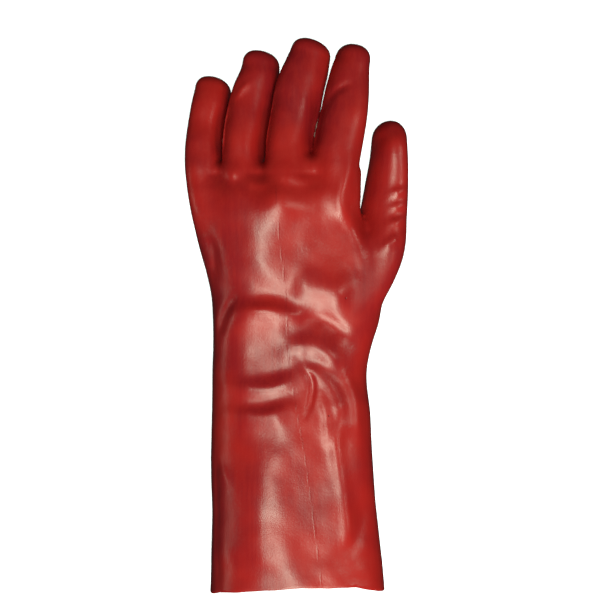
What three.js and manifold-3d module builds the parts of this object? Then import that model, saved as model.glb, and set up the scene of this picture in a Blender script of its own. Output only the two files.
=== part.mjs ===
// Long-cuffed coated work glove for the left hand, lying palm down on a flat surface.
// X runs across the hand with the thumb on the plus side, Y from hem to fingertips, Z up.
import * as THREE from 'three';
import { mergeVertices } from 'three/addons/utils/BufferGeometryUtils.js';
import Module from 'manifold-3d';

// Main sizes in millimetres
const GLOVE_LENGTH = 360;
const GLOVE_WIDTH = 143.8;
const CUFF_HEIGHT = 58;
const FINGER_THICKNESS = 25;
const WALL = 1.5;
const FOLD_HEIGHT = 4;
const TIP_ROUNDING = 11;

// How finely the skins are divided
const UPPER_COLUMNS = 22;
const LOWER_COLUMNS = 16;
const FINGER_COLUMNS = 16;
const FINGER_ROWS = 9;
const TIP_ROWS = 4;
const BODY_ZONES = [
  { from: 0.000, to: 0.280, rows: 8 },
  { from: 0.280, to: 0.600, rows: 20 },
  { from: 0.600, to: 0.755, rows: 7 },
];

// Cuff, wrist and hand. along is a share of the length from the hem, left and right are shares
// of half the width, top and foot are shares of the cuff height, square is how boxy the oval is.
// A foot below nothing means that the underside is pressed flat on the surface it lies on.
const BODY = [
  { along: 0.000, left: -0.775, right: 0.778, top: 0.966, foot: -0.075, square: 2.7 },
  { along: 0.058, left: -0.765, right: 0.757, top: 0.983, foot: -0.075, square: 2.7 },
  { along: 0.144, left: -0.757, right: 0.712, top: 1.000, foot: -0.075, square: 2.7 },
  { along: 0.230, left: -0.775, right: 0.676, top: 0.983, foot: -0.075, square: 2.6 },
  { along: 0.317, left: -0.765, right: 0.648, top: 0.920, foot: -0.075, square: 2.5 },
  { along: 0.403, left: -0.762, right: 0.612, top: 0.830, foot: -0.070, square: 2.4 },
  { along: 0.446, left: -0.758, right: 0.658, top: 0.815, foot: -0.065, square: 2.4 },
  { along: 0.489, left: -0.757, right: 0.725, top: 0.815, foot: -0.065, square: 2.3 },
  { along: 0.532, left: -0.768, right: 0.765, top: 0.820, foot: -0.065, square: 2.3 },
  { along: 0.575, left: -0.811, right: 0.800, top: 0.825, foot: -0.060, square: 2.3 },
  { along: 0.619, left: -0.873, right: 0.745, top: 0.820, foot: -0.045, square: 2.4 },
  { along: 0.655, left: -0.918, right: 0.630, top: 0.800, foot: 0.000, square: 2.5 },
  { along: 0.690, left: -0.948, right: 0.565, top: 0.765, foot: 0.050, square: 2.6 },
  { along: 0.755, left: -0.968, right: 0.568, top: 0.635, foot: 0.140, square: 2.6 },
];

// Height of the widest line of the body between its foot and its top
const SIDE_LINE = 0.46;

// How far the upper hem stands back from the lowest corner, by place across
const HEM = [
  { aside: -0.775, rise: 0.0000 },
  { aside: -0.700, rise: 0.0062 },
  { aside: -0.300, rise: 0.0120 },
  { aside: -0.020, rise: 0.0160 },
  { aside: 0.530, rise: 0.0160 },
  { aside: 0.780, rise: 0.0062 },
];
const HEM_UNDERSIDE_RISE = 0.011;
const HEM_REACH = 0.10;

// Line of the webs between the fingers, by place across
const WEBS = [
  { aside: -0.970, along: 0.775 },
  { aside: -0.662, along: 0.783 },
  { aside: -0.284, along: 0.773 },
  { aside: 0.131, along: 0.792 },
  { aside: 0.540, along: 0.790 },
];

// Fingers and thumb from the root inside the hand to the start of the rounded tip.
// aside is a share of half the width, height of the cuff height, wide of the glove width,
// and deep of the finger thickness.
const FINGERS = {
  little: [
    { along: 0.690, aside: -0.770, height: 0.390, wide: 0.140, deep: 0.76 },
    { along: 0.752, aside: -0.812, height: 0.405, wide: 0.172, deep: 0.92 },
    { along: 0.791, aside: -0.815, height: 0.415, wide: 0.186, deep: 0.93 },
    { along: 0.834, aside: -0.799, height: 0.405, wide: 0.187, deep: 0.93 },
    { along: 0.881, aside: -0.764, height: 0.330, wide: 0.177, deep: 0.91 },
    { along: 0.905, aside: -0.733, height: 0.232, wide: 0.168, deep: 0.86 },
  ],
  ring: [
    { along: 0.690, aside: -0.445, height: 0.430, wide: 0.150, deep: 0.80 },
    { along: 0.752, aside: -0.450, height: 0.445, wide: 0.178, deep: 0.98 },
    { along: 0.791, aside: -0.443, height: 0.460, wide: 0.182, deep: 1.00 },
    { along: 0.850, aside: -0.417, height: 0.455, wide: 0.187, deep: 1.00 },
    { along: 0.900, aside: -0.368, height: 0.400, wide: 0.188, deep: 0.98 },
    { along: 0.935, aside: -0.325, height: 0.305, wide: 0.176, deep: 0.92 },
    { along: 0.951, aside: -0.300, height: 0.238, wide: 0.162, deep: 0.88 },
  ],
  middle: [
    { along: 0.690, aside: -0.060, height: 0.450, wide: 0.160, deep: 0.84 },
    { along: 0.752, aside: -0.056, height: 0.465, wide: 0.192, deep: 1.02 },
    { along: 0.803, aside: -0.041, height: 0.480, wide: 0.206, deep: 1.06 },
    { along: 0.858, aside: 0.000, height: 0.475, wide: 0.208, deep: 1.06 },
    { along: 0.914, aside: 0.046, height: 0.430, wide: 0.207, deep: 1.02 },
    { along: 0.952, aside: 0.100, height: 0.320, wide: 0.194, deep: 0.95 },
    { along: 0.970, aside: 0.134, height: 0.240, wide: 0.176, deep: 0.90 },
  ],
  index: [
    { along: 0.690, aside: 0.320, height: 0.430, wide: 0.160, deep: 0.84 },
    { along: 0.752, aside: 0.348, height: 0.440, wide: 0.194, deep: 1.00 },
    { along: 0.791, aside: 0.370, height: 0.455, wide: 0.209, deep: 1.04 },
    { along: 0.858, aside: 0.428, height: 0.450, wide: 0.209, deep: 1.04 },
    { along: 0.914, aside: 0.461, height: 0.395, wide: 0.198, deep: 1.00 },
    { along: 0.945, aside: 0.486, height: 0.310, wide: 0.182, deep: 0.94 },
    { along: 0.961, aside: 0.504, height: 0.240, wide: 0.170, deep: 0.90 },
  ],
  thumb: [
    { along: 0.490, aside: 0.440, height: 0.350, wide: 0.160, deep: 0.96 },
    { along: 0.560, aside: 0.600, height: 0.365, wide: 0.220, deep: 1.28 },
    { along: 0.619, aside: 0.716, height: 0.350, wide: 0.240, deep: 1.30 },
    { along: 0.684, aside: 0.765, height: 0.310, wide: 0.214, deep: 1.16 },
    { along: 0.728, aside: 0.800, height: 0.290, wide: 0.187, deep: 1.06 },
    { along: 0.780, aside: 0.822, height: 0.250, wide: 0.168, deep: 0.98 },
    { along: 0.825, aside: 0.832, height: 0.205, wide: 0.154, deep: 0.92 },
  ],
};
const FINGER_SQUARE = 2.25;

// Folds and dents seen from above. Each follows a bent line through three places, given as
// aside and along. wide is a share of the glove width, high a share of the fold height.
const FOLDS = [
  { name: 'upper wrist fold', line: [-0.45, 0.505, -0.15, 0.530, 0.16, 0.495], wide: 0.045, high: 0.80 },
  { name: 'thumb side fold', line: [-0.06, 0.562, 0.26, 0.545, 0.54, 0.524], wide: 0.048, high: 0.75 },
  { name: 'wrist bowl', line: [-0.14, 0.467, 0.20, 0.476, 0.50, 0.462], wide: 0.070, high: -0.95 },
  { name: 'bowl rim', line: [-0.14, 0.432, 0.26, 0.460, 0.46, 0.372], wide: 0.042, high: 0.90 },
  { name: 'first cross fold', line: [-0.57, 0.382, -0.24, 0.376, 0.07, 0.382], wide: 0.036, high: 1.00 },
  { name: 'second cross fold', line: [-0.57, 0.340, -0.24, 0.338, 0.07, 0.345], wide: 0.036, high: 1.00 },
  { name: 'cross fold end', line: [0.03, 0.399, 0.27, 0.392, 0.32, 0.340], wide: 0.036, high: 0.60 },
  { name: 'dish behind the thumb', line: [-0.02, 0.600, 0.24, 0.602, 0.46, 0.588], wide: 0.095, high: -0.80 },
  { name: 'back of hand rise', line: [-0.22, 0.715, -0.32, 0.628, -0.40, 0.552], wide: 0.090, high: 0.60 },
  { name: 'thumb web crease', line: [0.37, 0.690, 0.47, 0.664, 0.55, 0.640], wide: 0.036, high: -0.45 },
  { name: 'cuff long rise', line: [-0.12, 0.320, -0.15, 0.170, -0.12, 0.010], wide: 0.070, high: 0.40 },
  { name: 'cuff long dip', line: [-0.46, 0.300, -0.46, 0.150, -0.46, 0.015], wide: 0.080, high: -0.25 },
  { name: 'cuff right rise', line: [0.35, 0.340, 0.40, 0.190, 0.47, 0.060], wide: 0.050, high: 0.30 },
  { name: 'cuff slant crease', line: [0.64, 0.165, 0.52, 0.115, 0.40, 0.061], wide: 0.036, high: -0.40 },
];
const FOLD_STEPS = 14;

// Colour and finish of the coating
const COATING_COLOUR = 0x9c1a1f;
const COATING_ROUGHNESS = 0.38;

const HALF_WIDTH = GLOVE_WIDTH / 2;
const HEM_OVERRUN = 20;
const wasm = await Module();
wasm.setup();

function between(low, high, share) {
  return low + (high - low) * share;
}

function easing(share) {
  const held = Math.min(1, Math.max(0, share));
  return held * held * (3 - 2 * held);
}

// Smooth value of one column of a table at a place given in another column
function readTable(rows, placeColumn, place, column) {
  const last = rows.length - 1;
  if (place <= rows[0][placeColumn]) return rows[0][column];
  if (place >= rows[last][placeColumn]) return rows[last][column];
  let upper = 1;
  while (rows[upper][placeColumn] < place) upper += 1;
  const a = rows[upper - 1];
  const b = rows[upper];
  const span = b[placeColumn] - a[placeColumn];
  const slopeAt = (index) => {
    const before = rows[Math.max(0, index - 1)];
    const after = rows[Math.min(last, index + 1)];
    return (after[column] - before[column]) / (after[placeColumn] - before[placeColumn]);
  };
  const t = (place - a[placeColumn]) / span;
  const startPull = slopeAt(upper - 1) * span;
  const endPull = slopeAt(upper) * span;
  const rise = b[column] - a[column];
  return a[column] + t * (startPull + t * ((3 * rise - 2 * startPull - endPull) + t * (startPull + endPull - 2 * rise)));
}

// Point on a unit oval, boxier with a larger square
function ovalPoint(turn, square) {
  const across = Math.cos(turn);
  const up = Math.sin(turn);
  const reach = (Math.abs(across) ** square + Math.abs(up) ** square) ** (-1 / square);
  return { across: across * reach, up: up * reach };
}

// Places spaced evenly by length along a curve, without its last one
function spreadEvenly(pointAt, count) {
  const fine = 160;
  const lengths = [0];
  let before = pointAt(0);
  for (let step = 1; step <= fine; step += 1) {
    const here = pointAt(step / fine);
    lengths.push(lengths[step - 1] + Math.hypot(here.x - before.x, here.z - before.z));
    before = here;
  }
  const places = [];
  let step = 1;
  for (let index = 0; index < count; index += 1) {
    const wanted = lengths[fine] * index / count;
    while (lengths[step] < wanted) step += 1;
    const share = (wanted - lengths[step - 1]) / (lengths[step] - lengths[step - 1]);
    places.push(pointAt((step - 1 + share) / fine));
  }
  return places;
}

// The bent line of each fold as points in plan
const foldLines = FOLDS.map((fold) => {
  const [x0, y0, x1, y1, x2, y2] = fold.line;
  const place = (aside, along) => new THREE.Vector2(aside * HALF_WIDTH, (along - 0.5) * GLOVE_LENGTH);
  const curve = new THREE.SplineCurve([place(x0, y0), place(x1, y1), place(x2, y2)]);
  return { points: curve.getPoints(FOLD_STEPS), wide: fold.wide * GLOVE_WIDTH, high: fold.high * FOLD_HEIGHT };
});

// Height that the folds add to the upper skin at a place in plan
function foldLift(x, y) {
  let lift = 0;
  for (const fold of foldLines) {
    let nearest = Infinity;
    for (let index = 1; index < fold.points.length; index += 1) {
      const a = fold.points[index - 1];
      const b = fold.points[index];
      const run = (b.x - a.x) ** 2 + (b.y - a.y) ** 2;
      const share = Math.min(1, Math.max(0, ((x - a.x) * (b.x - a.x) + (y - a.y) * (b.y - a.y)) / run));
      const gap = Math.hypot(x - between(a.x, b.x, share), y - between(a.y, b.y, share));
      nearest = Math.min(nearest, gap);
    }
    lift += fold.high * Math.exp(-((nearest / fold.wide) ** 2));
  }
  return lift;
}

// One ring of the body, from the thumb side over the top and back under the palm
function bodyRing(along, roundTurn) {
  const value = (column) => readTable(BODY, 'along', along, column);
  const left = value('left') * HALF_WIDTH;
  const right = value('right') * HALF_WIDTH;
  const foot = value('foot') * CUFF_HEIGHT;
  const top = value('top') * CUFF_HEIGHT;
  const square = value('square');
  const middle = (left + right) / 2;
  const sideLine = between(foot, top, SIDE_LINE);
  const thin = Math.cos(roundTurn);
  const halfAcross = (right - left) / 2 * between(0.82, 1, thin);
  const half = (share, over) => {
    const spot = ovalPoint(Math.PI * (over ? share : 1 + share), square);
    const rise = spot.up * thin * (over ? top - sideLine : sideLine - foot);
    return new THREE.Vector3(middle + spot.across * halfAcross, spot.up, Math.max(0, sideLine + rise));
  };
  const ring = [
    ...spreadEvenly((share) => half(share, true), UPPER_COLUMNS),
    ...spreadEvenly((share) => half(share, false), LOWER_COLUMNS),
  ];
  return ring.map((spot) => {
    const hemOver = readTable(HEM, 'aside', spot.x / HALF_WIDTH, 'rise');
    const hemRise = between(HEM_UNDERSIDE_RISE, hemOver, easing(0.5 + spot.y * 1.2)) * GLOVE_LENGTH;
    const web = readTable(WEBS, 'aside', spot.x / HALF_WIDTH, 'along') - BODY[BODY.length - 1].along;
    const shift = hemRise * (1 - easing(along / HEM_REACH)) + web * GLOVE_LENGTH * Math.sin(roundTurn);
    const y = (along - 0.5) * GLOVE_LENGTH + shift;
    const lift = spot.y > 0 ? foldLift(spot.x, y) * easing(spot.y * 1.6) * thin : 0;
    return new THREE.Vector3(spot.x, y, spot.z + lift);
  });
}

function bodyRings() {
  const rings = [];
  for (const zone of BODY_ZONES) {
    for (let row = 0; row < zone.rows; row += 1) {
      rings.push(bodyRing(between(zone.from, zone.to, row / zone.rows), 0));
    }
  }
  const end = BODY[BODY.length - 1].along;
  const roundRows = 4;
  for (let row = 0; row <= roundRows; row += 1) {
    rings.push(bodyRing(end, Math.PI / 2 * 0.86 * row / roundRows));
  }
  return rings;
}

// Rings of a finger along its bent middle line, ending in a rounded tip
function fingerRings(rows) {
  const spots = rows.map((row) => new THREE.Vector3(
    row.aside * HALF_WIDTH, (row.along - 0.5) * GLOVE_LENGTH, row.height * CUFF_HEIGHT));
  const middleLine = new THREE.CatmullRomCurve3(spots, false, 'centripetal');
  const ringAt = (share, advance, scale) => {
    const middle = middleLine.getPointAt(share);
    const forward = middleLine.getTangentAt(share);
    const across = new THREE.Vector3().crossVectors(forward, new THREE.Vector3(0, 0, 1)).normalize();
    const over = new THREE.Vector3().crossVectors(across, forward);
    const along = middle.y / GLOVE_LENGTH + 0.5;
    const halfWide = readTable(rows, 'along', along, 'wide') * GLOVE_WIDTH / 2 * scale;
    const halfDeep = readTable(rows, 'along', along, 'deep') * FINGER_THICKNESS / 2 * scale;
    middle.addScaledVector(forward, advance);
    const ring = [];
    for (let column = 0; column < FINGER_COLUMNS; column += 1) {
      const spot = ovalPoint(2 * Math.PI * column / FINGER_COLUMNS, FINGER_SQUARE);
      const point = middle.clone();
      point.addScaledVector(across, spot.across * halfWide);
      point.addScaledVector(over, spot.up * halfDeep);
      if (spot.up > 0) point.z += foldLift(point.x, point.y) * spot.up * scale;
      point.z = Math.max(0, point.z);
      ring.push(point);
    }
    return ring;
  };
  const rings = [];
  for (let row = 0; row < FINGER_ROWS; row += 1) {
    rings.push(ringAt(row / FINGER_ROWS, 0, 1));
  }
  for (let row = 0; row < TIP_ROWS; row += 1) {
    const turn = Math.PI / 2 * row / TIP_ROWS;
    rings.push(ringAt(1, TIP_ROUNDING * Math.sin(turn), Math.cos(turn) ** 0.9));
  }
  const tip = middleLine.getPointAt(1).addScaledVector(middleLine.getTangentAt(1), TIP_ROUNDING);
  return { rings, tip };
}

function middleOf(ring) {
  const middle = new THREE.Vector3();
  ring.forEach((point) => middle.add(point));
  return middle.divideScalar(ring.length);
}

// The same rings moved inward by the wall
function insetRings(rings) {
  const count = rings[0].length;
  return rings.map((ring, row) => ring.map((point, column) => {
    const before = rings[Math.max(0, row - 1)][column];
    const after = rings[Math.min(rings.length - 1, row + 1)][column];
    const forward = new THREE.Vector3().subVectors(after, before);
    const around = new THREE.Vector3().subVectors(ring[(column + 1) % count], ring[(column + count - 1) % count]);
    const inward = new THREE.Vector3().crossVectors(forward, around).normalize();
    const moved = point.clone().addScaledVector(inward, -WALL);
    moved.z = Math.max(WALL, moved.z);
    return moved;
  }));
}

// Closed solid through a row of rings, with a middle point at each end
function solidFromRings(rings, startPoint, endPoint) {
  const count = rings[0].length;
  const positions = [];
  const indices = [];
  rings.forEach((ring) => ring.forEach((point) => positions.push(point.x, point.y, point.z)));
  positions.push(startPoint.x, startPoint.y, startPoint.z, endPoint.x, endPoint.y, endPoint.z);
  const start = rings.length * count;
  const end = start + 1;
  for (let column = 0; column < count; column += 1) {
    const next = (column + 1) % count;
    indices.push(start, column, next);
    indices.push(end, (rings.length - 1) * count + next, (rings.length - 1) * count + column);
    for (let row = 0; row < rings.length - 1; row += 1) {
      const a = row * count + column;
      const b = row * count + next;
      const c = a + count;
      const d = b + count;
      indices.push(a, c, b, b, c, d);
    }
  }
  const mesh = new wasm.Mesh({
    numProp: 3,
    vertProperties: new Float32Array(positions),
    triVerts: new Uint32Array(indices),
  });
  return new wasm.Manifold(mesh);
}

function bodySolids() {
  const rings = bodyRings();
  const outer = solidFromRings(rings, middleOf(rings[0]), middleOf(rings[rings.length - 1]));
  const inset = insetRings(rings);
  const beyondHem = inset[0].map((point) => point.clone().setY(point.y - HEM_OVERRUN));
  const inner = [beyondHem, ...inset];
  return { outer, inner: solidFromRings(inner, middleOf(beyondHem), middleOf(inset[inset.length - 1])) };
}

function fingerSolids(rows) {
  const { rings, tip } = fingerRings(rows);
  const outer = solidFromRings(rings, middleOf(rings[0]), tip);
  const inset = insetRings(rings);
  const lastMiddle = middleOf(rings[rings.length - 1]);
  const innerTip = tip.clone().add(lastMiddle.sub(tip).setLength(WALL));
  return { outer, inner: solidFromRings(inset, middleOf(inset[0]), innerTip) };
}

let { outer, inner } = bodySolids();
for (const rows of Object.values(FINGERS)) {
  const finger = fingerSolids(rows);
  outer = outer.add(finger.outer);
  inner = inner.add(finger.inner);
}
const skin = outer.subtract(inner).getMesh();

// The origin is set under the middle of the glove
const corners = new THREE.BufferGeometry();
corners.setAttribute('position', new THREE.BufferAttribute(new Float32Array(skin.vertProperties), skin.numProp));
corners.setIndex(new THREE.BufferAttribute(new Uint32Array(skin.triVerts), 1));
const geometry = mergeVertices(corners, 0.001);
geometry.computeBoundingBox();
const box = geometry.boundingBox;
geometry.translate(-(box.min.x + box.max.x) / 2, -(box.min.y + box.max.y) / 2, -box.min.z);
geometry.computeVertexNormals();

const coating = new THREE.MeshStandardMaterial({
  color: COATING_COLOUR,
  roughness: COATING_ROUGHNESS,
  metalness: 0,
});
const glove = new THREE.Mesh(geometry, coating);
glove.name = 'glove_shell';

const group = new THREE.Group();
group.name = 'work_glove';
group.add(glove);

export default group;
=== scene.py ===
import math

import bpy
import numpy as np
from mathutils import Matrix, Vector


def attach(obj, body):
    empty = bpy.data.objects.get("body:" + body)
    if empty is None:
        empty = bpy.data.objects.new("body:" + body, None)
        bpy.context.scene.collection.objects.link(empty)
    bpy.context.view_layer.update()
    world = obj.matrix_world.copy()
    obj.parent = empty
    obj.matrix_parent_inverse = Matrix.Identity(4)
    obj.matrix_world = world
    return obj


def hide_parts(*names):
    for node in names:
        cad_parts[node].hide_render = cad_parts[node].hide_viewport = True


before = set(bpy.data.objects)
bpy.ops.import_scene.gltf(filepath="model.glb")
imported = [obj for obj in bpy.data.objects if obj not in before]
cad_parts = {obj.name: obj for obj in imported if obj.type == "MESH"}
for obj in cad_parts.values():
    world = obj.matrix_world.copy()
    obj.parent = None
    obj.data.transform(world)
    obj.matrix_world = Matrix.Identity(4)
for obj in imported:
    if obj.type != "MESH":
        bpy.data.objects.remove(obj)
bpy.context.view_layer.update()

# Sizes in millimetres. Places along the glove are counted from the hem, and hem to fingertip
# is LENGTH. Places across are minus on the little finger's side. Heights start at the floor.
LENGTH = 360.0
WALL = 1.5
METRES = 0.001

# The widest line of the sides, as a share of the height, and how square the underside is at least
SIDE_LINE = 0.46
UNDERSIDE_SQUARE = 2.4
# How deep the foot of the glove is flattened where it meets the floor
FLOOR_PRESS = 1.0

# Cuff, wrist and hand:
# (along, left edge, right edge, line of the crest, top, foot, squareness left and right)
BODY = np.array([
    (-20.0, -56.8, 57.6, -20.0, 57.6, -4.3, 2.0, 2.4),
    (0.0, -56.3, 56.8, -20.0, 57.0, -4.3, 2.0, 2.4),
    (20.9, -55.8, 55.2, -21.0, 56.2, -4.3, 2.0, 2.4),
    (51.8, -55.2, 51.9, -22.0, 55.0, -4.3, 2.0, 2.4),
    (82.8, -56.0, 49.4, -21.0, 53.4, -4.3, 2.0, 2.4),
    (114.1, -55.4, 47.8, -21.0, 51.4, -4.3, 2.2, 2.5),
    (145.1, -55.0, 45.6, -23.0, 47.6, -4.1, 2.6, 2.5),
    (160.6, -54.6, 48.5, -24.0, 46.4, -3.8, 2.6, 2.5),
    (176.0, -54.6, 53.3, -25.0, 46.4, -3.8, 2.5, 2.5),
    (191.5, -55.6, 55.6, -27.0, 46.8, -3.8, 2.2, 2.4),
    (207.0, -58.8, 56.0, -29.0, 47.8, -3.5, 2.0, 2.3),
    (222.8, -63.2, 52.0, -31.0, 48.8, -2.4, 2.0, 2.3),
    (235.8, -66.4, 45.0, -28.0, 50.2, 0.4, 2.1, 2.2),
    (248.4, -68.9, 41.2, -24.0, 51.0, 4.4, 2.2, 2.2),
    (260.0, -69.4, 41.2, -20.0, 47.2, 9.0, 2.3, 2.3),
    (271.8, -69.0, 41.4, -14.0, 39.0, 13.6, 2.3, 2.4),
])

# Line of the webs between the fingers: (across, along)
WEBS = np.array([(-69.7, 279.0), (-47.6, 281.9), (-20.4, 278.3), (9.4, 285.1), (38.8, 284.4)])

# Fingers along their middle line: (along, across, height, width, depth)
FINGERS = {
    "little": [
        (238.4, -53.4, 26.0, 18.0, 16.0),
        (252.4, -56.0, 30.0, 21.0, 22.5),
        (270.7, -59.0, 27.6, 23.6, 25.0),
        (284.8, -59.6, 24.4, 24.0, 24.6),
        (300.2, -58.5, 20.2, 23.6, 23.0),
        (317.2, -55.8, 15.8, 23.4, 22.4),
        (324.6, -54.9, 12.8, 21.8, 21.5),
    ],
    "ring": [
        (236.4, -31.6, 30.0, 20.0, 16.0),
        (252.4, -32.4, 34.6, 22.0, 25.0),
        (270.7, -33.6, 31.2, 25.4, 27.4),
        (284.8, -34.3, 27.4, 25.6, 27.0),
        (306.0, -32.0, 22.1, 26.8, 25.5),
        (324.0, -28.2, 17.2, 26.2, 24.0),
        (336.6, -24.2, 13.8, 23.8, 23.0),
        (341.6, -23.6, 12.4, 22.4, 22.0),
    ],
    "middle": [
        (236.4, -5.6, 31.0, 21.0, 19.0),
        (252.4, -5.6, 35.2, 23.5, 25.5),
        (270.7, -5.8, 31.6, 27.4, 28.2),
        (289.1, -4.8, 27.2, 28.8, 28.4),
        (308.9, -1.6, 22.3, 29.4, 27.0),
        (329.0, 2.1, 17.6, 30.0, 25.0),
        (342.7, 6.6, 14.0, 27.2, 23.8),
        (349.2, 8.4, 12.4, 25.2, 22.5),
    ],
    "index": [
        (236.4, 20.6, 28.0, 20.0, 18.0),
        (252.4, 23.2, 31.8, 23.0, 25.0),
        (270.7, 24.2, 30.0, 28.6, 27.4),
        (284.8, 25.6, 27.4, 31.4, 27.6),
        (308.9, 30.0, 22.7, 30.6, 26.2),
        (329.0, 33.1, 17.8, 27.8, 24.6),
        (340.2, 34.8, 14.4, 24.8, 23.5),
        (346.0, 36.0, 12.6, 22.8, 22.5),
    ],
    "thumb": [
        (176.4, 31.6, 20.3, 23.0, 24.0),
        (201.6, 43.1, 21.0, 31.6, 32.0),
        (222.8, 51.5, 19.6, 33.6, 32.5),
        (246.2, 56.2, 17.4, 28.6, 28.4),
        (262.1, 58.1, 16.8, 26.2, 26.5),
        (280.8, 59.6, 16.6, 23.2, 24.5),
        (294.4, 60.0, 14.6, 21.2, 23.0),
    ],
}
# How far the top of each finger leans to the right for each millimetre of height
LEAN = {"little": -0.45, "ring": -0.45, "middle": -0.4, "index": 0.12, "thumb": 0.4}
# Length of the rounded tip and how square it is
TIPS = {
    "little": (11.0, 2.7),
    "ring": (11.0, 2.7),
    "middle": (11.0, 2.7),
    "index": (11.0, 2.5),
    "thumb": (13.0, 2.0),
}
FINGER_SQUARE = 2.1
MIDDLE_LINE_POINTS = 90
# Space round a finger's middle line in which its distance is worked out, and the distance beyond
FINGER_REACH = 26.0
FAR = 30.0

# How far the hand runs over into the fingers: at the flanks, and over the back of the hand
BLEND = {"fingers": (4.5, 8.0), "thumb": (4.0, 8.0)}
# Height where the flanks end, and how much higher the back of the hand begins
BLEND_HEIGHT = 24.0
BLEND_RISE = 14.0
# How far neighbouring fingers run together over the hand, and the stretch that fades it out
WEB_BLEND = 6.0
WEB_FADE = 14.0
# How far beyond the webs a corner counts for its own finger alone
OWN_FINGER_FROM = 2.0

# Lines where neighbouring fingers touch: (along, little to ring, ring to middle, middle to index)
TOUCH_LINES = np.array([
    (0.0, -47.4, -21.4, 8.8),
    (283.0, -47.3, -21.3, 9.0),
    (300.0, -46.4, -19.0, 11.4),
    (320.0, -43.1, -15.2, 15.2),
    (332.0, -40.8, -12.6, 19.2),
    (345.0, -37.6, -9.6, 22.0),
    (370.0, -34.0, -5.0, 25.5),
])
# How far each of these gaps leans, and over how much height
GAP_LEANS = (LEAN["ring"], LEAN["ring"], LEAN["middle"] / 2 + LEAN["index"] / 2)
GAP_LEAN_HEIGHT = 8.0

# Grid on which the skin is found
ROW_STEP = 1.85
LAYER_STEP = 1.8
GRID_SIDES = (-77.0, 76.0)
GRID_LAYERS = (-2.5, 66.0)
GRID_PAST_TIP = 5.0
# Columns from left to right: beside the fingers, and closer ones where two fingers touch
COLUMNS = (17, 6, 13, 6, 15, 6, 34)
# Half width of the closer columns: between the fingers, over the hand, and where it changes
CLOSE_BETWEEN = 1.0
CLOSE_OVER_HAND = 4.6
CLOSE_FROM = 262.0
CLOSE_STRETCH = 16.0

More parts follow.
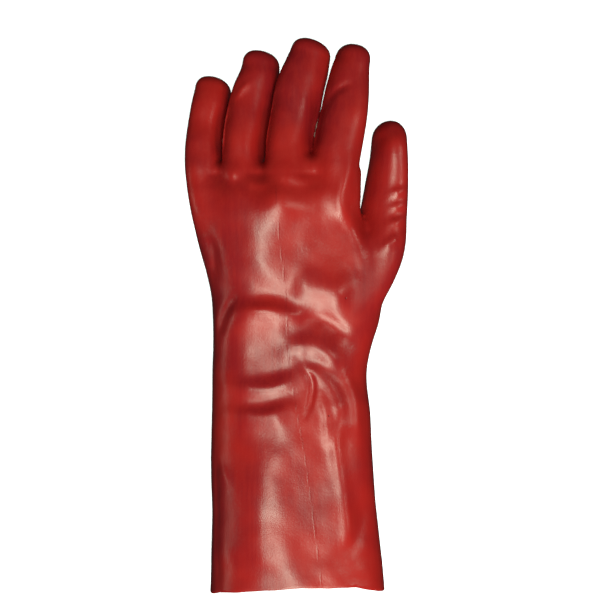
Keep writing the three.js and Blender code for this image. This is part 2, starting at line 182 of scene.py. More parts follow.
# Folds and dents of the upper side:
# (name, height, width fingerward, width cuffward, bent line in plan as (across, along))
FOLDS = [
    ("back of hand rise", 3.2, 17.0, 17.0,
     [(-14.0, 270.0), (-16.5, 252.0), (-20.5, 235.7), (-25.3, 213.7), (-27.2, 196.8)]),
    ("dish behind the thumb", -1.5, 16.0, 13.0,
     [(0.0, 236.0), (14.0, 233.0), (28.0, 226.0)]),
    ("thumb side fold", 3.8, 13.0, 10.0,
     [(-6.5, 201.4), (16.2, 196.8), (38.2, 189.1)]),
    ("hand edge cord", 1.6, 4.4, 4.4,
     [(35.6, 281.0), (31.1, 268.1), (28.5, 251.9), (34.0, 240.9), (39.8, 229.2), (42.1, 215.0)]),
    ("thumb web hollow", -1.6, 4.0, 4.0,
     [(38.8, 251.9), (42.1, 240.9), (47.3, 229.2)]),
    ("upper edge crease", -2.2, 3.4, 3.4,
     [(-57.6, 233.1), (-53.7, 220.1), (-53.1, 205.9)]),
    ("lower edge crease", -2.2, 3.2, 3.2,
     [(-40.8, 191.7), (-46.6, 180.7), (-50.5, 165.8)]),
    ("upper wrist fold", 2.4, 5.0, 6.0,
     [(-40.0, 181.0), (-25.0, 183.4), (-7.8, 181.2), (6.5, 176.6), (14.0, 173.5)]),
    ("long slope below it", 3.2, 9.0, 22.0,
     [(-31.0, 181.0), (-15.0, 181.0)]),
    ("wrist bowl", -2.8, 5.0, 8.0,
     [(-3.9, 173.0), (6.0, 177.0), (15.0, 177.4), (26.0, 172.0), (34.3, 164.5)]),
    ("bowl rim", 2.9, 7.0, 5.8,
     [(-5.8, 155.7), (-1.5, 159.2), (6.5, 160.6), (16.2, 158.0), (24.6, 151.5), (29.0, 144.0)]),
    ("crossing fold", 2.0, 4.6, 6.5,
     [(3.0, 145.0), (10.4, 143.7), (18.1, 138.6), (24.6, 130.8), (28.5, 120.4), (30.0, 112.0)]),
    ("right band rise", 1.4, 3.4, 3.4,
     [(31.0, 143.0), (36.0, 131.0), (39.0, 116.0), (40.0, 100.0)]),
    ("first cross fold", 2.7, 6.0, 5.0,
     [(-44.0, 134.9), (-22.0, 133.7), (3.2, 139.2)]),
    ("second cross fold", 2.8, 5.0, 8.0,
     [(-42.1, 117.2), (-22.7, 115.9), (-4.5, 119.8)]),
    ("narrow upright groove", -1.8, 1.9, 1.9,
     [(3.9, 146.0), (9.0, 139.9), (9.0, 126.9), (6.5, 115.9)]),
    ("short upright rise", 1.0, 2.6, 2.6,
     [(14.9, 130.8), (18.8, 116.5), (19.4, 99.7)]),
    ("cuff long rise", 2.6, 16.0, 16.0,
     [(-8.4, 109.4), (-14.2, 83.5), (-17.5, 57.6), (-13.6, 31.7), (-9.1, 1.3)]),
    ("cuff middle dip", -0.5, 8.0, 8.0,
     [(12.7, 106.2), (13.1, 60.9), (17.0, 1.3)]),
    ("cuff right rise", 1.8, 4.8, 4.8,
     [(25.9, 120.4), (25.9, 93.2), (31.7, 60.9), (34.3, 22.0)]),
    ("cuff slant crease", -1.2, 5.0, 5.0,
     [(47.3, 60.9), (39.5, 42.7), (29.8, 22.0)]),
    ("cuff edge groove", -1.4, 2.2, 2.2,
     [(-51.8, 95.2), (-51.8, 47.9), (-50.5, 0.6)]),
    ("cuff corner fold", 1.0, 2.5, 2.5,
     [(-53.7, 93.9), (-49.2, 83.5), (-44.7, 72.5)]),
    ("ring finger fold", 1.1, 2.0, 2.0,
     [(-39.5, 321.8), (-35.0, 327.6), (-30.4, 332.2)]),
    ("index finger fold", -1.2, 2.4, 2.4,
     [(17.5, 314.7), (25.3, 325.7), (34.3, 330.9)]),
    ("rise behind the middle knuckle", 1.4, 10.0, 18.0,
     [(-13.0, 254.0), (-17.0, 240.0)]),
    ("hollow beside the little finger", -4.8, 3.8, 3.8,
     [(-48.8, 283.0), (-49.2, 291.0), (-48.6, 304.0), (-45.5, 318.0)]),
    ("hollow beside the ring finger", -4.8, 3.8, 3.8,
     [(-22.0, 285.0), (-21.2, 294.0), (-19.4, 309.0), (-16.8, 323.0)]),
    ("hollow beside the middle finger", -4.8, 3.8, 3.8,
     [(8.6, 287.0), (10.0, 295.0), (12.0, 309.0), (14.6, 324.0)]),
    ("little knuckle", 1.6, 6.0, 4.0,
     [(-46.5, 273.5), (-42.0, 272.0)]),
    ("ring knuckle", 1.3, 6.0, 4.0,
     [(-28.5, 266.5), (-22.5, 265.5)]),
    ("middle knuckle", 1.6, 7.0, 5.0,
     [(-7.5, 270.0), (2.5, 269.0)]),
    ("thumb ripple 1", 1.4, 2.4, 3.4,
     [(61.5, 259.6), (73.2, 262.2)]),
    ("thumb ripple 2", 1.4, 2.4, 3.4,
     [(60.9, 249.9), (73.2, 253.2)]),
    ("thumb ripple 3", 1.4, 2.4, 3.4,
     [(60.2, 239.6), (73.2, 244.1)]),
    ("thumb ripple 4", 1.4, 2.4, 3.4,
     [(55.7, 224.0), (65.4, 231.8)]),
    ("thumb tip rise", 2.2, 5.0, 12.0,
     [(64.5, 293.0), (61.5, 291.0)]),
]
# A fold counts out to this many times its width
FOLD_REACH = 3.2
# A fold longer than this many widths fades over a share of its length to a share of its height
FOLD_LONG = 3
FOLD_FADE = 0.28
FOLD_END_HEIGHT = 0.35
# Upward part of a corner's normal from which folds set in, and over which they grow to full height
UPPER_FROM = 0.05
UPPER_OVER = 0.5

# How far the cut edge of the hem stands back from the lowest corner: (across, upper side)
HEM = np.array([(-56.0, 0.0), (-50.5, 2.2), (-21.6, 4.3), (-1.4, 5.8), (38.1, 5.8), (56.1, 2.2)])
HEM_UNDERSIDE = 4.0
HEM_REACH = 36.0
# Small waves in the cut: (height, radians for each millimetre, start)
HEM_UPPER_WAVES = ((0.15, 0.21, 0.6), (0.08, 0.53, 0.0))
HEM_LOWER_WAVE = (0.4, 0.17)
# Height of the cuff's middle, and the height over which the underside's cut becomes the upper one
HEM_MIDDLE = 24.0
HEM_CHANGE = 30.0
# Rounding of the cut edge: (share of the wall, how far it stands out)
CUT_EDGE = ((0.12, 0.16), (0.5, 0.24), (0.88, 0.16))

# Slight waviness: how many waves, their lengths and their slope, the share that the flanks and
# underside keep, and the height above the floor over which it sets in
UNEVEN_WAVES = 28
UNEVEN_LENGTHS = (14.0, 48.0)
UNEVEN_SLOPE = 0.012
UNEVEN_SEED = 11
UNEVEN_BELOW = 0.25
UNEVEN_FLOOR = 6.0

# Liner seam that shows through the coating: (along, across)
SEAM = np.array([
    (0.0, 16.8), (89.4, 5.2), (151.5, -5.2), (193.0, -7.1), (235.7, -11.7), (262.0, -13.5),
])
# The seam is only on the upper side, above this height; elsewhere it counts as this far away
SEAM_LOWEST = 20.0
SEAM_NONE = 9.0

# Colours of the coating and of the knit inside
DEEP_RED = (0.240, 0.0070, 0.0115, 1)
BRIGHT_RED = (0.375, 0.0115, 0.0105, 1)
STREAK_RED = (0.420, 0.022, 0.016, 1)
PIT_RED = (0.10, 0.004, 0.005, 1)
SEAM_RED = (0.17, 0.006, 0.008, 1)
COTTON = (0.62, 0.50, 0.46, 1)
SOAKED_COTTON = (0.50, 0.22, 0.20, 1)
# Darker knit colour laid into the low parts of the knit pattern: painted shade in its hollows
KNIT_HOLLOW_PAINTED_SHADE = (0.28, 0.17, 0.15, 1)
PALE_FLOOR = (0.77, 0.80, 0.96, 1)
STUDIO_AIR = (0.9, 0.92, 0.95, 1)
LAMP_COLOUR = (0.95, 1.0, 0.80)

# Studio in metres. Lamps: (name, place, aimed at, size, watts)
LAMPS = (
    ("overhead_softbox", (0.20, -0.50, 2.43), (0, 0, 0), (0.42, 1.9), 46),
    ("cuff_end_softbox", (0.3, -1.74, 1.80), (0, 0, 0), (0.42, 1.4), 46),
    ("left_strip", (-1.9, -0.2, 0.35), (0, 0, 0.02), (1.0, 0.15), 2.2),
    ("right_lamp", (1.45, 0.30, 1.30), (0.03, 0.1, 0.02), (0.3, 0.3), 4.5),
)
FLOOR_WASH = ("floor_wash", (0.0, 0.0, 3.0), (0, 0, 0), (2.0, 2.0), 130)
AIR_STRENGTH = 0.03
FLOOR_HALF = 4.0
FLOOR_DROP = 0.0003
CAMERA_PLACE = (0.0019, 0.0104, 2.25)
CAMERA_REACH = 50
# Width that the picture covers, and the height at which it is measured
PICTURE_WIDTH = 0.3885
PICTURE_HEIGHT = 0.03


def ease(share):
    """Share from 0 to 1 that starts and ends gently."""
    held = np.clip(share, 0.0, 1.0)
    return held * held * (3 - 2 * held)


def smooth_line(places, values, at):
    """Smooth value of a table column at any places, level beyond its ends."""
    slopes = np.gradient(values, places)
    at = np.clip(at, places[0], places[-1])
    row = np.clip(np.searchsorted(places, at) - 1, 0, len(places) - 2)
    span = places[row + 1] - places[row]
    t = (at - places[row]) / span
    rise = values[row + 1] - values[row]
    start, end = slopes[row] * span, slopes[row + 1] * span
    squared, cubed = 3 * rise - 2 * start - end, start + end - 2 * rise
    return values[row] + t * (start + t * (squared + t * cubed))


def joined(a, b, reach):
    """Smooth union of two distances."""
    reach = np.maximum(reach, 1e-3)
    share = np.clip(0.5 + 0.5 * (b - a) / reach, 0.0, 1.0)
    return b + (a - b) * share - reach * share * (1 - share)


def distance_from_gauge(away, gauge):
    """Distance outside a shape, from a point's distance to its middle in millimetres and in half
    widths. Very near the middle it is only deep inside."""
    least_gauge = 0.02
    return away * (1 - 1 / np.maximum(gauge, least_gauge))


def body_distance(x, y, z):
    """Distance outside the cuff, wrist and hand, with a rounded end at the webs."""
    left, right, crest, top, foot, square_left, square_right = (
        smooth_line(BODY[:, 0], BODY[:, column], y) for column in range(1, 8))
    side = foot + SIDE_LINE * (top - foot)
    body_end = BODY[-1, 0]
    past = np.maximum(0.0, y - body_end)
    rounding = np.interp(x, WEBS[:, 0], WEBS[:, 1]) - body_end
    across = x - crest
    half_wide = np.where(across > 0, right - crest, crest - left)
    up = z - side
    half_up = np.where(up > 0, top - side, side - foot)
    square = np.where(across > 0, square_right, square_left)
    square = np.where(up > 0, square, np.maximum(square, UNDERSIDE_SQUARE))
    gauge = (np.abs(across / half_wide) ** square + np.abs(up / half_up) ** square
             + (past / rounding) ** square) ** (1 / square)
    return distance_from_gauge(np.sqrt(across ** 2 + up ** 2 + past ** 2), gauge)


class Finger:
    """Middle line, widths and directions of one finger, ready to measure distances from."""

    def __init__(self, rows, lean, tip):
        rows = np.array(rows)
        self.lean = lean
        self.tip_length, self.tip_square = tip
        along = np.linspace(rows[0, 0], rows[-1, 0], MIDDLE_LINE_POINTS)
        across, height, width, depth = (smooth_line(rows[:, 0], rows[:, column], along)
                                        for column in range(1, 5))
        self.middle = np.stack([across, along, height], 1)
        self.halves = np.stack([width, depth], 1) / 2
        forward = np.gradient(self.middle, axis=0)
        self.forward = forward / np.linalg.norm(forward, axis=1)[:, None]
        side = np.cross(self.forward, (0.0, 0.0, 1.0))
        self.side = side / np.linalg.norm(side, axis=1)[:, None]
        self.over = np.cross(self.side, self.forward)

    def nearest(self, points):
        """Place of the nearest spot of the middle line, counted in its pieces."""
        run = np.diff(self.middle, axis=0)
        length = (run ** 2).sum(1)
        best = np.full(len(points), 1e9)
        place = np.zeros(len(points))
        for index in range(len(run)):
            away = points - self.middle[index]
            share = np.clip(away @ run[index] / length[index], 0.0, 1.0)
            gap = ((away - share[:, None] * run[index]) ** 2).sum(1)
            closer = gap < best
            best[closer] = gap[closer]
            place[closer] = index + share[closer]
        return place

    def distance(self, points):
        place = self.nearest(points)
        low = np.minimum(place.astype(int), len(self.middle) - 2)
        share = (place - low)[:, None]
        middle, forward, side, over, halves = (
            table[low] * (1 - share) + table[low + 1] * share
            for table in (self.middle, self.forward, self.side, self.over, self.halves))
        away = points - middle
        half_wide, half_deep = halves.T
        up = (away * over).sum(1)
        across = (away * side).sum(1) - self.lean * up * (1 - (up / half_deep) ** 2 / 3)
        ahead = (away * forward).sum(1)
        section = (np.abs(across / half_wide) ** FINGER_SQUARE
                   + np.abs(up / half_deep) ** FINGER_SQUARE)
        square = self.tip_square
        gauge = (section ** (square / FINGER_SQUARE)
                 + np.abs(ahead / self.tip_length) ** square) ** (1 / square)
        return distance_from_gauge(np.linalg.norm(away, axis=1), gauge)


FINGER_SHAPES = {name: Finger(rows, LEAN[name], TIPS[name]) for name, rows in FINGERS.items()}


def finger_distances(points):
    """Distance outside each finger, one column for each."""
    found = np.full((len(points), len(FINGER_SHAPES)), FAR)
    for index, shape in enumerate(FINGER_SHAPES.values()):
        low = shape.middle.min(0) - FINGER_REACH
        high = shape.middle.max(0) + FINGER_REACH
        near = np.all((points > low) & (points < high), axis=1)
        if near.any():
            found[near, index] = shape.distance(points[near])
    return found


def blend_reach(name, z):
    """How far the hand runs over into the fingers or the thumb at a height."""
    flank, back = BLEND[name]
    return flank + (back - flank) * ease((z - BLEND_HEIGHT) / BLEND_RISE)


def glove_distance(points, owner=None):
    """Distance outside the glove's skin. With an owner, only that finger counts beyond the webs."""
    x, y, z = points.T
    fingers = finger_distances(points)
    web = np.interp(x, WEBS[:, 0], WEBS[:, 1])
    if owner is not None:
        rows = np.arange(len(points))
        beyond = y > web + OWN_FINGER_FROM
        own = fingers[rows, owner].copy()
        fingers[beyond] = FAR
        fingers[rows[beyond], owner[beyond]] = own[beyond]
    between = WEB_BLEND * (1 - ease((y - web + WEB_FADE) / WEB_FADE))
    four = fingers[:, 0]
    for index in range(1, 4):
        four = joined(four, fingers[:, index], between)
    hand = joined(body_distance(x, y, z), four, blend_reach("fingers", z))
    total = joined(hand, fingers[:, 4], blend_reach("thumb", z))
    # Cut off at the floor, with a small rounding
    share = np.clip(0.5 - 0.5 * (-z - total) / FLOOR_PRESS, 0.0, 1.0)
    return -z * (1 - share) + total * share + FLOOR_PRESS * share * (1 - share)


def grid_lines():
    """Grid points over the glove, closer together where fingers touch."""
    rows = np.arange(-0.5 * ROW_STEP, LENGTH + GRID_PAST_TIP, ROW_STEP)
    layers = np.arange(*GRID_LAYERS, LAYER_STEP)
    points = np.zeros((sum(COLUMNS) + 1, len(rows), len(layers), 3))
    ring = FINGER_SHAPES["ring"].middle
    for row, along in enumerate(rows):
        over_hand = 1 - ease((along - CLOSE_FROM) / CLOSE_STRETCH)
        half = CLOSE_BETWEEN + (CLOSE_OVER_HAND - CLOSE_BETWEEN) * over_hand
        above = layers - np.interp(along, ring[:, 1], ring[:, 2])
        above = np.clip(above, -GAP_LEAN_HEIGHT, GAP_LEAN_HEIGHT)
        stops = [np.full(len(layers), GRID_SIDES[0])]
        for gap, lean in enumerate(GAP_LEANS):
            line = np.interp(along, TOUCH_LINES[:, 0], TOUCH_LINES[:, gap + 1]) + lean * above
            stops += [line - half, line + half]
        stops.append(np.full(len(layers), GRID_SIDES[1]))
        spots = [np.linspace(stops[part], stops[part + 1], count, endpoint=False)
                 for part, count in enumerate(COLUMNS)]
        points[:, row, :, 0] = np.concatenate(spots + [stops[-1][None]])
    points[..., 1] = rows[None, :, None]
    points[..., 2] = layers[None, None, :]
    return points


def cells_round(spots, others, offsets):
    """The grid cells that share a grid line with the spots."""
    cell = spots.copy()
    cell[:, others[0]] -= offsets[0]
    cell[:, others[1]] -= offsets[1]
    return cell


def skin_of_field(points, field):
    """Quads over the surface where the field changes sign, one corner in each cell it crosses."""
    inside = field < 0
    cells = np.array(field.shape) - 1
    total = np.zeros((*cells, 3))
    count = np.zeros(cells)
    crossings = []
    for axis in range(3):
        low = tuple(slice(0, -1) if a == axis else slice(None) for a in range(3))
        high = tuple(slice(1, None) if a == axis else slice(None) for a in range(3))
        cross = inside[low] != inside[high]
        spots = np.argwhere(cross)
        fa, fb = field[low][cross], field[high][cross]
        share = (fa / (fa - fb))[:, None]
        place = points[low][cross] * (1 - share) + points[high][cross] * share
        others = [a for a in range(3) if a != axis]
        for offsets in ((0, 0), (0, 1), (1, 0), (1, 1)):
            cell = cells_round(spots, others, offsets)
            good = np.all((cell >= 0) & (cell < cells), axis=1)
            index = tuple(cell[good].T)
            np.add.at(total, index, place[good])
            np.add.at(count, index, 1)
        crossings.append((axis, others, spots, inside[low][cross]))
    used = count > 0
    number = np.full(cells, -1)
    number[used] = np.arange(used.sum())
    corners = total[used] / count[used][:, None]
    quads = []
    for axis, others, spots, starts_inside in crossings:
        ring = [cells_round(spots, others, offsets) for offsets in ((0, 0), (1, 0), (1, 1), (0, 1))]
        good = np.all([(cell >= 0) & (cell < cells) for cell in ring], axis=(0, 2))
        ids = np.stack([number[tuple(cell[good].T)] for cell in ring], 1)
        # The walk round a grid line turns the other way along the second axis
        flip = starts_inside[good] ^ (axis == 1)
        ids[flip] = ids[flip][:, ::-1]
        quads.append(ids)
    return corners, np.concatenate(quads)


def walks_of(quads):
    """The four sides of each quad, in the direction of its walk."""
    return np.concatenate([quads[:, [a, (a + 1) % 4]] for a in range(4)])


def edges_of(quads):
    return np.sort(walks_of(quads), axis=1)


def facings_of(corners, quads):
    across = corners[quads[:, 2]] - corners[quads[:, 0]]
    other = corners[quads[:, 3]] - corners[quads[:, 1]]
    return np.cross(across, other)


def corner_normals(corners, quads):
    facing = facings_of(corners, quads)
    normals = np.zeros_like(corners)
    for column in range(4):
        np.add.at(normals, quads[:, column], facing)
    return normals / np.maximum(np.linalg.norm(normals, axis=1), 1e-12)[:, None]


def outward(corners, quads):
    """The quads turned so that they face out of the skin."""
    middle = corners[quads].mean(1) - corners.mean(0)
    out = (facings_of(corners, quads) * middle).sum() > 0
    return quads if out else quads[:, ::-1]


def evened(corners, quads, fixed, share, rounds):
    """Moves each corner towards the middle of its neighbours."""
    pairs = np.unique(edges_of(quads), axis=0)
    for _ in range(rounds):
        total = np.zeros_like(corners)
        count = np.zeros(len(corners))
        np.add.at(total, pairs[:, 0], corners[pairs[:, 1]])
        np.add.at(total, pairs[:, 1], corners[pairs[:, 0]])
        np.add.at(count, pairs[:, 0], 1)
        np.add.at(count, pairs[:, 1], 1)
        middle = total / count[:, None]
        middle[fixed] = corners[fixed]
        corners = corners + share * (middle - corners)
    return corners


def settled(corners, owner, rounds):
    """Moves corners onto the exact skin, down the slope of the distance and never far at once."""
    probe = 0.25
    least_slope = 0.2
    longest_move = 0.8
    for _ in range(rounds):
        here = glove_distance(corners, owner)
        slope = np.zeros_like(corners)
        for axis in range(3):
            ahead = corners.copy()
            ahead[:, axis] += probe
            slope[:, axis] = (glove_distance(ahead, owner) - here) / probe
        size = np.maximum((slope ** 2).sum(1), least_slope)
        move = slope * (here / size)[:, None]
        length = np.linalg.norm(move, axis=1)
        move *= np.minimum(1.0, longest_move / np.maximum(length, 1e-9))[:, None]
        corners = corners - move
    return corners


def bent_line(stops, pieces=24):
    """Smooth curve through the stops of a fold."""
    stops = np.array(stops)
    steps = np.linalg.norm(np.diff(stops, axis=0), axis=1)
    places = np.concatenate([[0.0], np.cumsum(steps)])
    at = np.linspace(0.0, places[-1], pieces + 1)
    return np.stack([smooth_line(places, stops[:, 0], at), smooth_line(places, stops[:, 1], at)], 1)


def nearest_on(line, x, y):
    """Gap from places in plan to a bent line, how far fingerward of it, and the share along it."""
    gap = np.full(len(x), 1e9)
    fingerward = np.zeros(len(x))
    place = np.zeros(len(x))
    for index, (start, end) in enumerate(zip(line[:-1], line[1:])):
        run = end - start
        share = ((x - start[0]) * run[0] + (y - start[1]) * run[1]) / (run @ run)
        share = np.clip(share, 0.0, 1.0)
        dx = x - start[0] - share * run[0]
        dy = y - start[1] - share * run[1]
        here = np.hypot(dx, dy)
        closer = here < gap
        gap[closer] = here[closer]
        fingerward[closer] = dy[closer]
        place[closer] = (index + share[closer]) / (len(line) - 1)
    return gap, fingerward, place


def fold_lift(x, y):
    """Height that the folds add at places in plan."""
    lift = np.zeros_like(x)
    for _, high, fingerward, cuffward, stops in FOLDS:
        line = bent_line(stops)
        widest = max(fingerward, cuffward)
        low, top = line.min(0) - FOLD_REACH * widest, line.max(0) + FOLD_REACH * widest
        near = (x > low[0]) & (x < top[0]) & (y > low[1]) & (y < top[1])
        if not near.any():
            continue
        gap, ahead, place = nearest_on(line, x[near], y[near])
        turned = ease(0.5 + ahead / (fingerward + cuffward))
        wide = cuffward + (fingerward - cuffward) * turned
        fade = 1.0
        if np.linalg.norm(np.diff(line, axis=0), axis=1).sum() > FOLD_LONG * widest:
            ends = ease(place / FOLD_FADE) * ease((1 - place) / FOLD_FADE)
            fade = FOLD_END_HEIGHT + (1 - FOLD_END_HEIGHT) * ends
        lift[near] += high * fade * np.exp(-((gap / wide) ** 2))
    return lift


def unevenness(x, y):
    """Slight waviness that the dipped skin has all over."""
    chance = np.random.default_rng(UNEVEN_SEED)
    total = np.zeros_like(x)
    for _ in range(UNEVEN_WAVES):
        length = chance.uniform(*UNEVEN_LENGTHS)
        way = chance.uniform(0.0, math.tau)
        start = chance.uniform(0.0, math.tau)
        walked = x * math.cos(way) + y * math.sin(way)
        total += length * np.sin(math.tau * walked / length + start)
    return total * UNEVEN_SLOPE / math.sqrt(UNEVEN_WAVES)


def hem_shift(x, height):
    """How far the cut edge stands back, for corners across the cuff and their heights."""
    upper = np.interp(x, HEM[:, 0], HEM[:, 1])
    for high, turns, start in HEM_UPPER_WAVES:
        upper = upper + high * np.sin(x * turns + start)
    high, turns = HEM_LOWER_WAVE
    lower = HEM_UNDERSIDE + high * np.sin(x * turns)
    up = np.clip((height - HEM_MIDDLE) / HEM_CHANGE, -0.5, 0.5)
    return lower + (upper - lower) * ease(0.5 + up)


def plain_skin():
    """Corners and quads of the outer skin without folds, open at the hem."""
    points = grid_lines()
    field = glove_distance(points.reshape(-1, 3)).reshape(points.shape[:3])
    corners, quads = skin_of_field(points, field)
    found, uses = np.unique(edges_of(quads), axis=0, return_counts=True)
    rim = np.zeros(len(corners), bool)
    rim[found[uses == 1].ravel()] = True
    owner = np.argmin(finger_distances(corners), axis=1)
    # Evening draws the corners a little off the skin, so they settle on it again each time
    for _ in range(3):
        corners = evened(corners, quads, rim, share=0.5, rounds=2)
        corners = settled(corners, owner, rounds=1)
    corners = settled(corners, owner, rounds=2)
    corners[rim, 1] = 0.0
    return corners, outward(corners, quads)


def folded_skin(corners, quads):
    """The skin with its folds and waviness, cut at the hem and moved to the frame's middle."""
    normals = corner_normals(corners, quads)
    x, y, z = corners.T
    upper = ease((normals[:, 2] - UPPER_FROM) / UPPER_OVER)
    corners[:, 2] += fold_lift(x, y) * upper
    share = (UNEVEN_BELOW + (1 - UNEVEN_BELOW) * upper) * ease(z / UNEVEN_FLOOR)
    corners += normals * (unevenness(x, y) * share)[:, None]
    corners[:, 1] += hem_shift(x, z) * (1 - ease(y / HEM_REACH))
    corners[:, 1] -= LENGTH / 2
    return corners


def rim_loop(quads):
    """Corner numbers round the open hem, in order, with the skin on the left of the walk."""
    ways = walks_of(quads).tolist()
    known = set(map(tuple, ways))
    follows = {a: b for a, b in ways if (b, a) not in known}
    loop = [min(follows)]
    while follows[loop[-1]] != loop[0]:
        loop.append(follows[loop[-1]])
    return np.array(loop)


def with_wall(corners, quads):
    """Adds the inner skin and the cut edge of the hem. The third value marks the inside faces."""
    count = len(corners)
    inward = corner_normals(corners, quads)
    loop = rim_loop(quads)
    inward[loop, 1] = 0.0
    inward[loop] /= np.linalg.norm(inward[loop], axis=1)[:, None]
    inner = corners - inward * WALL
    layers = [corners, inner]
    rings = [loop]
    for number, (share, bulge) in enumerate(CUT_EDGE):
        ring = corners[loop] * (1 - share) + inner[loop] * share
        ring[:, 1] -= bulge
        layers.append(ring)
        rings.append(2 * count + number * len(loop) + np.arange(len(loop)))
    rings.append(loop + count)
    strips = [np.stack([np.roll(near, -1), near, far, np.roll(far, -1)], 1)
              for near, far in zip(rings[:-1], rings[1:])]
    faces = np.concatenate([quads, quads[:, ::-1] + count] + strips)
    inside = np.zeros(len(faces), int)
    inside[len(quads):2 * len(quads)] = 1
    return np.concatenate(layers), faces, inside


def seam_distances(corners):
    """Distance of each corner from the liner's seam, in plan."""
    line = bent_line([(across, along - LENGTH / 2) for along, across in SEAM])
    middle = np.interp(corners[:, 1], line[:, 1], line[:, 0])
    aside = np.where(corners[:, 2] > SEAM_LOWEST, np.abs(corners[:, 0] - middle), SEAM_NONE)
    beyond = np.maximum(0.0, corners[:, 1] - line[-1, 1])
    return np.hypot(aside, beyond)


def glove_object():
    """The whole glove as one closed skin: coating outside and on the cut edge, knit inside."""
    corners, quads = plain_skin()
    corners, faces, inside = with_wall(folded_skin(corners, quads), quads)
    mesh = bpy.data.meshes.new("glove_skin")
    mesh.from_pydata((corners * METRES).tolist(), [], faces.tolist())
    mesh.update()
    seam = mesh.attributes.new("seam_distance", "FLOAT", "POINT")
    seam.data.foreach_set("value", seam_distances(corners))
    mesh.polygons.foreach_set("use_smooth", [True] * len(mesh.polygons))
    mesh.polygons.foreach_set("material_index", inside)
    mesh.materials.append(dipped_coating())
    mesh.materials.append(knitted_liner())
    glove = bpy.data.objects.new("glove_skin", mesh)
    bpy.context.scene.collection.objects.link(glove)
    return glove


class Finish:
    """Short words for building the nodes of one material."""

    def __init__(self, name, ior):
        self.material = bpy.data.materials.new(name)
        self.material.use_nodes = True
        self.nodes = self.material.node_tree.nodes
        self.links = self.material.node_tree.links
        self.shader = self.nodes["Principled BSDF"].inputs
        self.shader["IOR"].default_value = ior
        self.place = self.nodes.new("ShaderNodeTexCoord").outputs["Object"]

    def feed(self, socket, value):
        """Links another node's output into a socket, or sets the socket to a plain value."""
        if isinstance(value, bpy.types.NodeSocket):
            self.links.new(value, socket)
        else:
            socket.default_value = value

    def put(self, kind, settings=(), **inputs):
        """A node with its settings and inputs, whose names have _ for each space."""
        node = self.nodes.new(kind)
        for key, value in dict(settings).items():
            setattr(node, key, value)
        for key, value in inputs.items():
            self.feed(node.inputs[key.replace("_", " ")], value)
        return node

    def stretched(self, scale):
        return self.put("ShaderNodeMapping", Vector=self.place, Scale=scale).outputs[0]

    def noise(self, scale, detail=2.0, rough=0.5, place=None):
        node = self.put("ShaderNodeTexNoise", Vector=place or self.place,
                        Scale=scale, Detail=detail, Roughness=rough)
        return node.outputs["Fac"]

    def waves(self, direction, scale, distortion):
        node = self.put("ShaderNodeTexWave", {"bands_direction": direction}, Vector=self.place,
                        Scale=scale, Distortion=distortion, Detail=1.0)
        return node.outputs["Fac"]

    def reckon(self, kind, a, b):
        node = self.put("ShaderNodeMath", {"operation": kind})
        self.feed(node.inputs[0], a)
        self.feed(node.inputs[1], b)
        return node.outputs[0]

    def spread(self, value, low, high, to_low=0.0, to_high=1.0):
        """Soft step of a value between two bounds."""
        node = self.put("ShaderNodeMapRange", {"interpolation_type": "SMOOTHSTEP"}, Value=value,
                        From_Min=low, From_Max=high, To_Min=to_low, To_Max=to_high)
        return node.outputs["Result"]

    def blend(self, share, a, b):
        """Mix of two colours."""
        node = self.put("ShaderNodeMix", {"data_type": "RGBA"})
        for number, value in ((0, share), (6, a), (7, b)):
            self.feed(node.inputs[number], value)
        return node.outputs[2]

    def bump(self, height, distance, strength, below=None):
        """Fine relief of a height in metres, laid over the relief below it."""
        node = self.put("ShaderNodeBump", Height=height, Distance=distance, Strength=strength)
        if below is not None:
            self.links.new(below, node.inputs["Normal"])
        return node.outputs["Normal"]


def dipped_coating():
    """Satin plastic over a knitted liner: deep red, with grain, flow streaks and tiny pits."""
    coat = Finish("dipped_coating", ior=1.52)
    patches = coat.noise(16.0, 3.0, 0.55)
    streaks = coat.noise(1.0, 3.0, 0.6, coat.stretched((420.0, 14.0, 420.0)))
    # Of the scattered dots, one in five is a pit
    dots = coat.put("ShaderNodeTexVoronoi", {"feature": "F1"}, Vector=coat.place, Scale=95.0)
    chosen = coat.put("ShaderNodeSeparateColor", Color=dots.outputs["Color"]).outputs[0]
    pit = coat.reckon("MULTIPLY", coat.spread(dots.outputs["Distance"], 0.035, 0.075, 1.0, 0.0),
                   coat.spread(chosen, 0.80, 0.81))
    seam = coat.put("ShaderNodeAttribute", {"attribute_name": "seam_distance"})
    line = coat.spread(seam.outputs["Fac"], 0.25, 0.9, 1.0, 0.0)

    colour = coat.blend(coat.spread(patches, 0.35, 0.65), DEEP_RED, BRIGHT_RED)
    colour = coat.blend(coat.spread(streaks, 0.35, 0.7, 0.0, 0.22), colour, STREAK_RED)
    colour = coat.blend(coat.reckon("MULTIPLY", pit, 0.6), colour, PIT_RED)
    colour = coat.blend(coat.reckon("MULTIPLY", line, 0.25), colour, SEAM_RED)
    coat.feed(coat.shader["Base Color"], colour)

    grain = coat.noise(1500.0, 2.0, 0.6, coat.stretched((1.0, 0.6, 1.0)))
    relief = coat.bump(grain, distance=0.00014, strength=0.6)
    relief = coat.bump(streaks, distance=0.00012, strength=0.3, below=relief)
    relief = coat.bump(coat.noise(150.0), distance=0.0005, strength=0.25, below=relief)
    sunk = coat.reckon("MULTIPLY", pit, -1.0)
    relief = coat.bump(sunk, distance=0.0003, strength=0.8, below=relief)
    relief = coat.bump(line, distance=0.00012, strength=0.5, below=relief)
    coat.feed(coat.shader["Normal"], relief)

    gloss = coat.spread(coat.noise(60.0, 3.0, 0.6), 0.3, 0.7, 0.31, 0.37)
    coat.feed(coat.shader["Roughness"], gloss)
    return coat.material


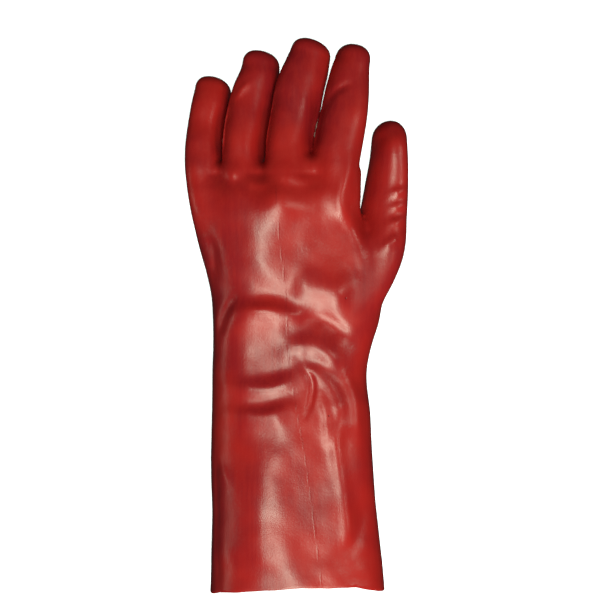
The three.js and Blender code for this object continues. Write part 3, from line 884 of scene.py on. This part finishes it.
def knitted_liner():
    """Off-white cotton knit in fine upright ribs, pink where plastic soaked in, painted shade in
    its hollows.
    """
    liner = Finish("knitted_liner", ior=1.4)
    soaked = liner.spread(liner.noise(45.0, 3.0, 0.6), 0.4, 0.7, 0.0, 0.6)
    ribs = liner.waves("X", 160.0, 1.2)
    loops = liner.waves("Y", 210.0, 1.5)
    knit = liner.reckon("MULTIPLY", ribs, loops)
    # Darker where the knit pattern is low: painted shade in the hollows between ribs and loops
    painted_hollow_shade = liner.reckon("MULTIPLY", liner.reckon("SUBTRACT", 1.0, knit), 0.35)
    colour = liner.blend(soaked, COTTON, SOAKED_COTTON)
    liner.feed(liner.shader["Base Color"], liner.blend(painted_hollow_shade, colour, KNIT_HOLLOW_PAINTED_SHADE))
    liner.feed(liner.shader["Normal"], liner.bump(knit, distance=0.0004, strength=0.7))
    liner.shader["Roughness"].default_value = 0.92
    return liner.material


def pale_floor():
    """Pale matt floor that is neither mirrored in the coating nor lights it from below."""
    half = FLOOR_HALF
    mesh = bpy.data.meshes.new("floor")
    mesh.from_pydata([(-half, -half, 0), (half, -half, 0), (half, half, 0), (-half, half, 0)],
                     [], [(0, 1, 2, 3)])
    paper = bpy.data.materials.new("pale_floor")
    paper.use_nodes = True
    shader = paper.node_tree.nodes["Principled BSDF"].inputs
    shader["Base Color"].default_value = PALE_FLOOR
    shader["Roughness"].default_value = 0.9
    mesh.materials.append(paper)
    floor = bpy.data.objects.new("floor", mesh)
    floor.location.z = -FLOOR_DROP
    floor.visible_glossy = False
    floor.visible_diffuse = False
    bpy.context.scene.collection.objects.link(floor)
    return floor


def soft_light(name, place, aim, size, watts):
    lamp = bpy.data.lights.new(name, "AREA")
    lamp.shape = "ELLIPSE"
    lamp.size, lamp.size_y = size
    lamp.energy = watts
    lamp.color = LAMP_COLOUR
    holder = bpy.data.objects.new(name, lamp)
    holder.location = place
    holder.rotation_mode = "QUATERNION"
    holder.rotation_quaternion = (Vector(aim) - Vector(place)).to_track_quat("-Z", "Y")
    bpy.context.scene.collection.objects.link(holder)
    return holder


def light_studio(floor):
    """Soft lamps over the glove, and one that whitens the floor alone."""
    for lamp in LAMPS:
        soft_light(*lamp)
    wash = soft_light(*FLOOR_WASH)
    only_floor = bpy.data.collections.new("only_floor")
    only_floor.objects.link(floor)
    wash.light_linking.receiver_collection = only_floor
    wash.light_linking.blocker_collection = only_floor
    world = bpy.data.worlds.new("studio")
    world.use_nodes = True
    air = world.node_tree.nodes["Background"].inputs
    air["Color"].default_value = STUDIO_AIR
    air["Strength"].default_value = AIR_STRENGTH
    bpy.context.scene.world = world
    bpy.context.scene.view_settings.view_transform = "Standard"


def set_camera():
    """Camera straight above the glove, wide enough for the whole of it."""
    lens = bpy.data.cameras.new("camera")
    lens.lens = lens.sensor_width * (CAMERA_PLACE[2] - PICTURE_HEIGHT) / PICTURE_WIDTH
    lens.clip_end = CAMERA_REACH
    camera = bpy.data.objects.new("camera", lens)
    camera.location = CAMERA_PLACE
    bpy.context.scene.collection.objects.link(camera)
    bpy.context.scene.camera = camera


glove = glove_object()
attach(glove, "root")
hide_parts("glove_shell")

floor = pale_floor()
light_studio(floor)
set_camera()
